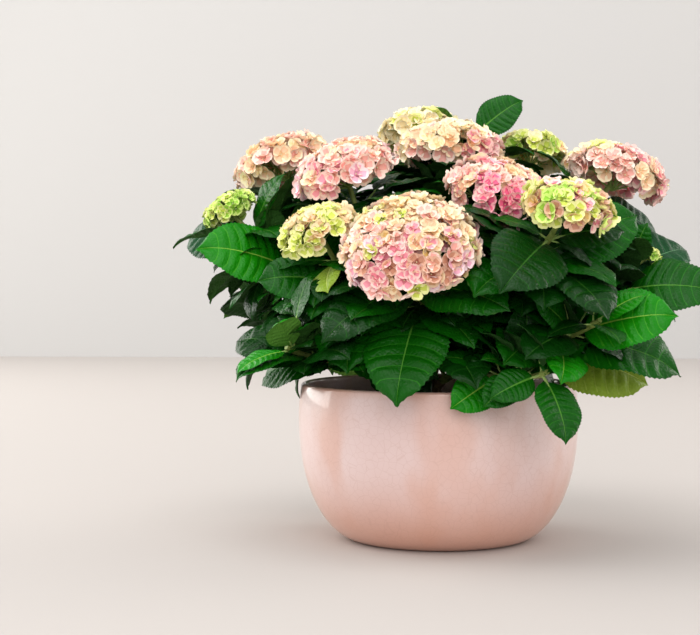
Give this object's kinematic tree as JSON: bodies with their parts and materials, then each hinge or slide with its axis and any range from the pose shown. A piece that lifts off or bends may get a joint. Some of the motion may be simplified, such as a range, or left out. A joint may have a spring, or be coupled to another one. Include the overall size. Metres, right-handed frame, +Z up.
{
  "type": "potted hydrangea shrub",
  "caption": "Flowering hydrangea shrub with mophead blooms in pink, cream and lime, growing in a rounded pink glazed ceramic planter.",
  "frame": {"origin": "centre of the planter's flat underside, where it stands on the floor", "axes": "+Z straight up through the planter's axis, -Y towards the front that the picture shows, +X to its right"},
  "size_m": [0.5426, 0.4799, 0.4475],
  "materials": {
    "blush_glaze": "gloss crackle glaze",
    "potting_mix": "coarse and matte",
    "woody_stem": "rough bark",
    "green_cane": "smooth green bark",
    "leaf": "glossy and veined",
    "sepal_pink": "soft petals",
    "sepal_cream": "soft petals",
    "sepal_lime": "soft petals"
  },
  "bodies": {
    "root": {"cane_bud_right": "green_cane", "cane_far_left": "green_cane", "cane_far_right": "green_cane", "cane_front": "green_cane", "cane_front_right": "green_cane", "cane_green_left": "green_cane", "cane_leafy_right": "green_cane", "cane_low_rear": "green_cane", "cane_mid_left": "green_cane", "cane_mid_right": "green_cane", "cane_rear_left": "green_cane", "cane_rear_middle": "green_cane", "cane_rear_right": "green_cane", "cane_rear_top": "green_cane", "cane_rear_top_right": "green_cane", "cane_top": "green_cane", "cane_upper_left": "green_cane", "cane_upper_middle": "green_cane", "foliage_bud_right": "leaf", "foliage_far_left": "leaf", "foliage_far_right": "leaf", "foliage_front": "leaf", "foliage_front_right": "leaf", "foliage_green_left": "leaf", "foliage_leafy_right": "leaf", "foliage_low_left": "leaf", "foliage_low_rear": "leaf", "foliage_low_right": "leaf", "foliage_mid_left": "leaf", "foliage_mid_right": "leaf", "foliage_rear_left": "leaf", "foliage_rear_middle": "leaf", "foliage_rear_right": "leaf", "foliage_rear_top": "leaf", "foliage_rear_top_right": "leaf", "foliage_top": "leaf", "foliage_upper_left": "leaf", "foliage_upper_middle": "leaf", "head_far_left": "sepal_pink", "head_far_right": "sepal_pink", "head_front": "sepal_cream", "head_front_right": "sepal_lime", "head_green_left": "sepal_lime", "head_mid_left": "sepal_cream", "head_mid_right": "sepal_pink", "head_rear_left": "sepal_cream", "head_rear_middle": "sepal_pink", "head_rear_right": "sepal_pink", "head_rear_top": "sepal_lime", "head_rear_top_right": "sepal_lime", "head_top": "sepal_cream", "head_upper_left": "sepal_pink", "planter": "blush_glaze", "potting_mix": "potting_mix", "stem_front": "woody_stem", "stem_left": "woody_stem", "stem_rear_left": "woody_stem", "stem_rear_right": "woody_stem", "stem_right": "woody_stem"}
  },
  "joints": []
}
